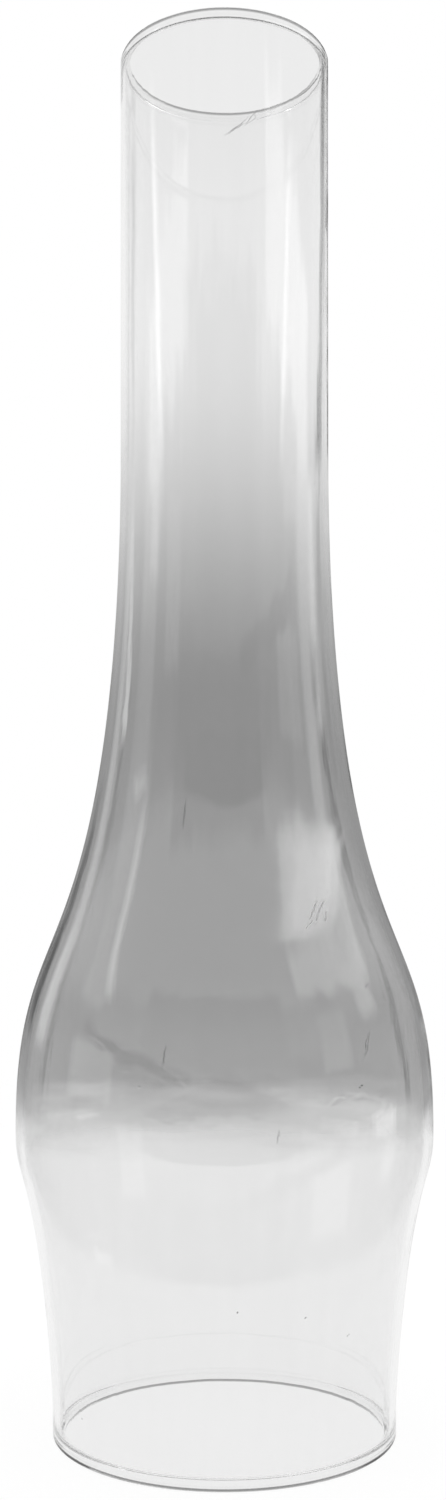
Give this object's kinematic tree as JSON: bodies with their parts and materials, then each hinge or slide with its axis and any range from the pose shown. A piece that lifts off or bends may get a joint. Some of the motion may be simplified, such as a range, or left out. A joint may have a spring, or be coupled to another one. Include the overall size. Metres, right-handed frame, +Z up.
{
  "type": "oil lamp chimney",
  "caption": "Clear blown-glass lamp chimney: a straight open foot, a swelling belly and a long narrow neck with a plain rounded lip.",
  "frame": {"origin": "centre of the foot's seat, on the flue's axis", "axes": "+Z up the flue from the foot to the lip; X and Y are any two directions across it, with -Y facing the picture's camera"},
  "size_m": [0.0926, 0.0926, 0.3048],
  "materials": {
    "clear_glass": "clear blown soda-lime glass, fire-polished, with faint draw lines and seeds"
  },
  "bodies": {
    "root": {"glass_chimney": "clear_glass"}
  },
  "joints": []
}
